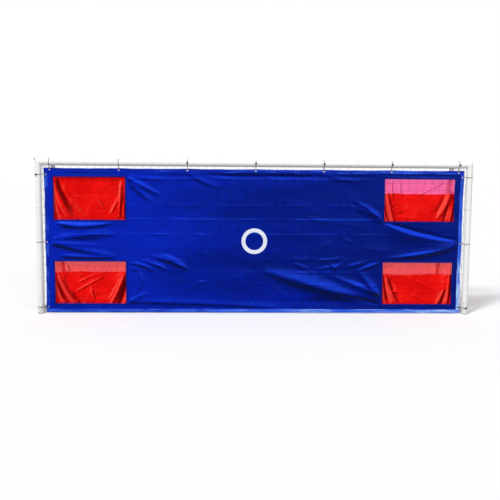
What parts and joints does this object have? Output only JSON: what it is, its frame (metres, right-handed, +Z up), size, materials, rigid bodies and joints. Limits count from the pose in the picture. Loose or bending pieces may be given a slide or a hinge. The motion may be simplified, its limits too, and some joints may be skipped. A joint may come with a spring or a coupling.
{
  "type": "goal target sheet",
  "caption": "Free-standing tubular goal with a blue target sheet tied into its mouth by ball bungees, a rectangular opening near each corner and a red flap hung behind each opening.",
  "frame": {"origin": "on the ground under the middle of the whole goal", "axes": "+X to the right as seen from the front, +Y to the rear, +Z up; the sheet and the goal's mouth face -Y"},
  "size_m": [6.2074, 1.6533, 2.1969],
  "materials": {
    "frame_paint": "white powder coat, satin",
    "zinc_steel": "zinc plated, dull",
    "foot_rubber": "black moulded rubber",
    "net_cord": "white knotted cord",
    "net_clip_plastic": "white moulded plastic",
    "sheet_cloth": "blue coated polyester, slight sheen, creased",
    "hem_cloth": "blue folded hem with stitching",
    "flap_cloth": "thin red polyester",
    "eyelet_metal": "nickel plated",
    "bungee_cord": "black braided elastic",
    "ball_plastic": "black, slight gloss"
  },
  "bodies": {
    "goal": {"left_post": "frame_paint", "right_post": "frame_paint", "left_crossbar": "frame_paint", "right_crossbar": "frame_paint", "crossbar_plug": "zinc_steel", "left_corner_plug": "zinc_steel", "right_corner_plug": "zinc_steel", "left_corner_web": "frame_paint", "post_feet": "foot_rubber", "left_arm_socket": "frame_paint", "right_arm_socket": "frame_paint", "left_ground_socket": "frame_paint", "right_ground_socket": "frame_paint", "left_top_arm": "frame_paint", "right_top_arm": "frame_paint", "left_back_stay": "frame_paint", "right_back_stay": "frame_paint", "left_ground_bar": "frame_paint", "right_ground_bar": "frame_paint", "left_rear_top_bar": "frame_paint", "right_rear_top_bar": "frame_paint", "left_rear_ground_bar": "frame_paint", "right_rear_ground_bar": "frame_paint", "rear_bar_plugs": "zinc_steel", "left_top_casting": "frame_paint", "right_top_casting": "frame_paint", "left_ground_casting": "frame_paint", "right_ground_casting": "frame_paint", "anchor_plates": "zinc_steel", "post_screws": "zinc_steel", "socket_screws": "zinc_steel", "roof_net": "net_cord", "back_net": "net_cord", "left_net": "net_cord", "right_net": "net_cord", "net_clips": "net_clip_plastic", "target_sheet": "sheet_cloth", "top_hem": "hem_cloth", "bottom_hem": "hem_cloth", "left_hem": "hem_cloth", "right_hem": "hem_cloth", "top_left_binding": "hem_cloth", "top_right_binding": "hem_cloth", "bottom_left_binding": "hem_cloth", "bottom_right_binding": "hem_cloth", "flap_tapes": "sheet_cloth", "eyelets": "eyelet_metal", "top_bungees": "bungee_cord", "left_bungees": "bungee_cord", "right_bungees": "bungee_cord", "bungee_balls": "ball_plastic"},
    "top_left_flap": {"top_left_flap": "flap_cloth"},
    "top_right_flap": {"top_right_flap": "flap_cloth"},
    "bottom_left_flap": {"bottom_left_flap": "flap_cloth"},
    "bottom_right_flap": {"bottom_right_flap": "flap_cloth"}
  },
  "joints": [
    {"name": "top_left_flap_swing", "type": "hinge", "parent": "goal", "child": "top_left_flap", "pos_m": [-2.34, -0.7453, 1.98], "axis": [1, 0, 0], "range_deg": [0, 80]},
    {"name": "top_right_flap_swing", "type": "hinge", "parent": "goal", "child": "top_right_flap", "pos_m": [2.34, -0.7453, 1.98], "axis": [1, 0, 0], "range_deg": [0, 80]},
    {"name": "bottom_left_flap_swing", "type": "hinge", "parent": "goal", "child": "bottom_left_flap", "pos_m": [-2.34, -0.7453, 0.785], "axis": [1, 0, 0], "range_deg": [0, 80]},
    {"name": "bottom_right_flap_swing", "type": "hinge", "parent": "goal", "child": "bottom_right_flap", "pos_m": [2.34, -0.7453, 0.785], "axis": [1, 0, 0], "range_deg": [0, 80]}
  ]
}
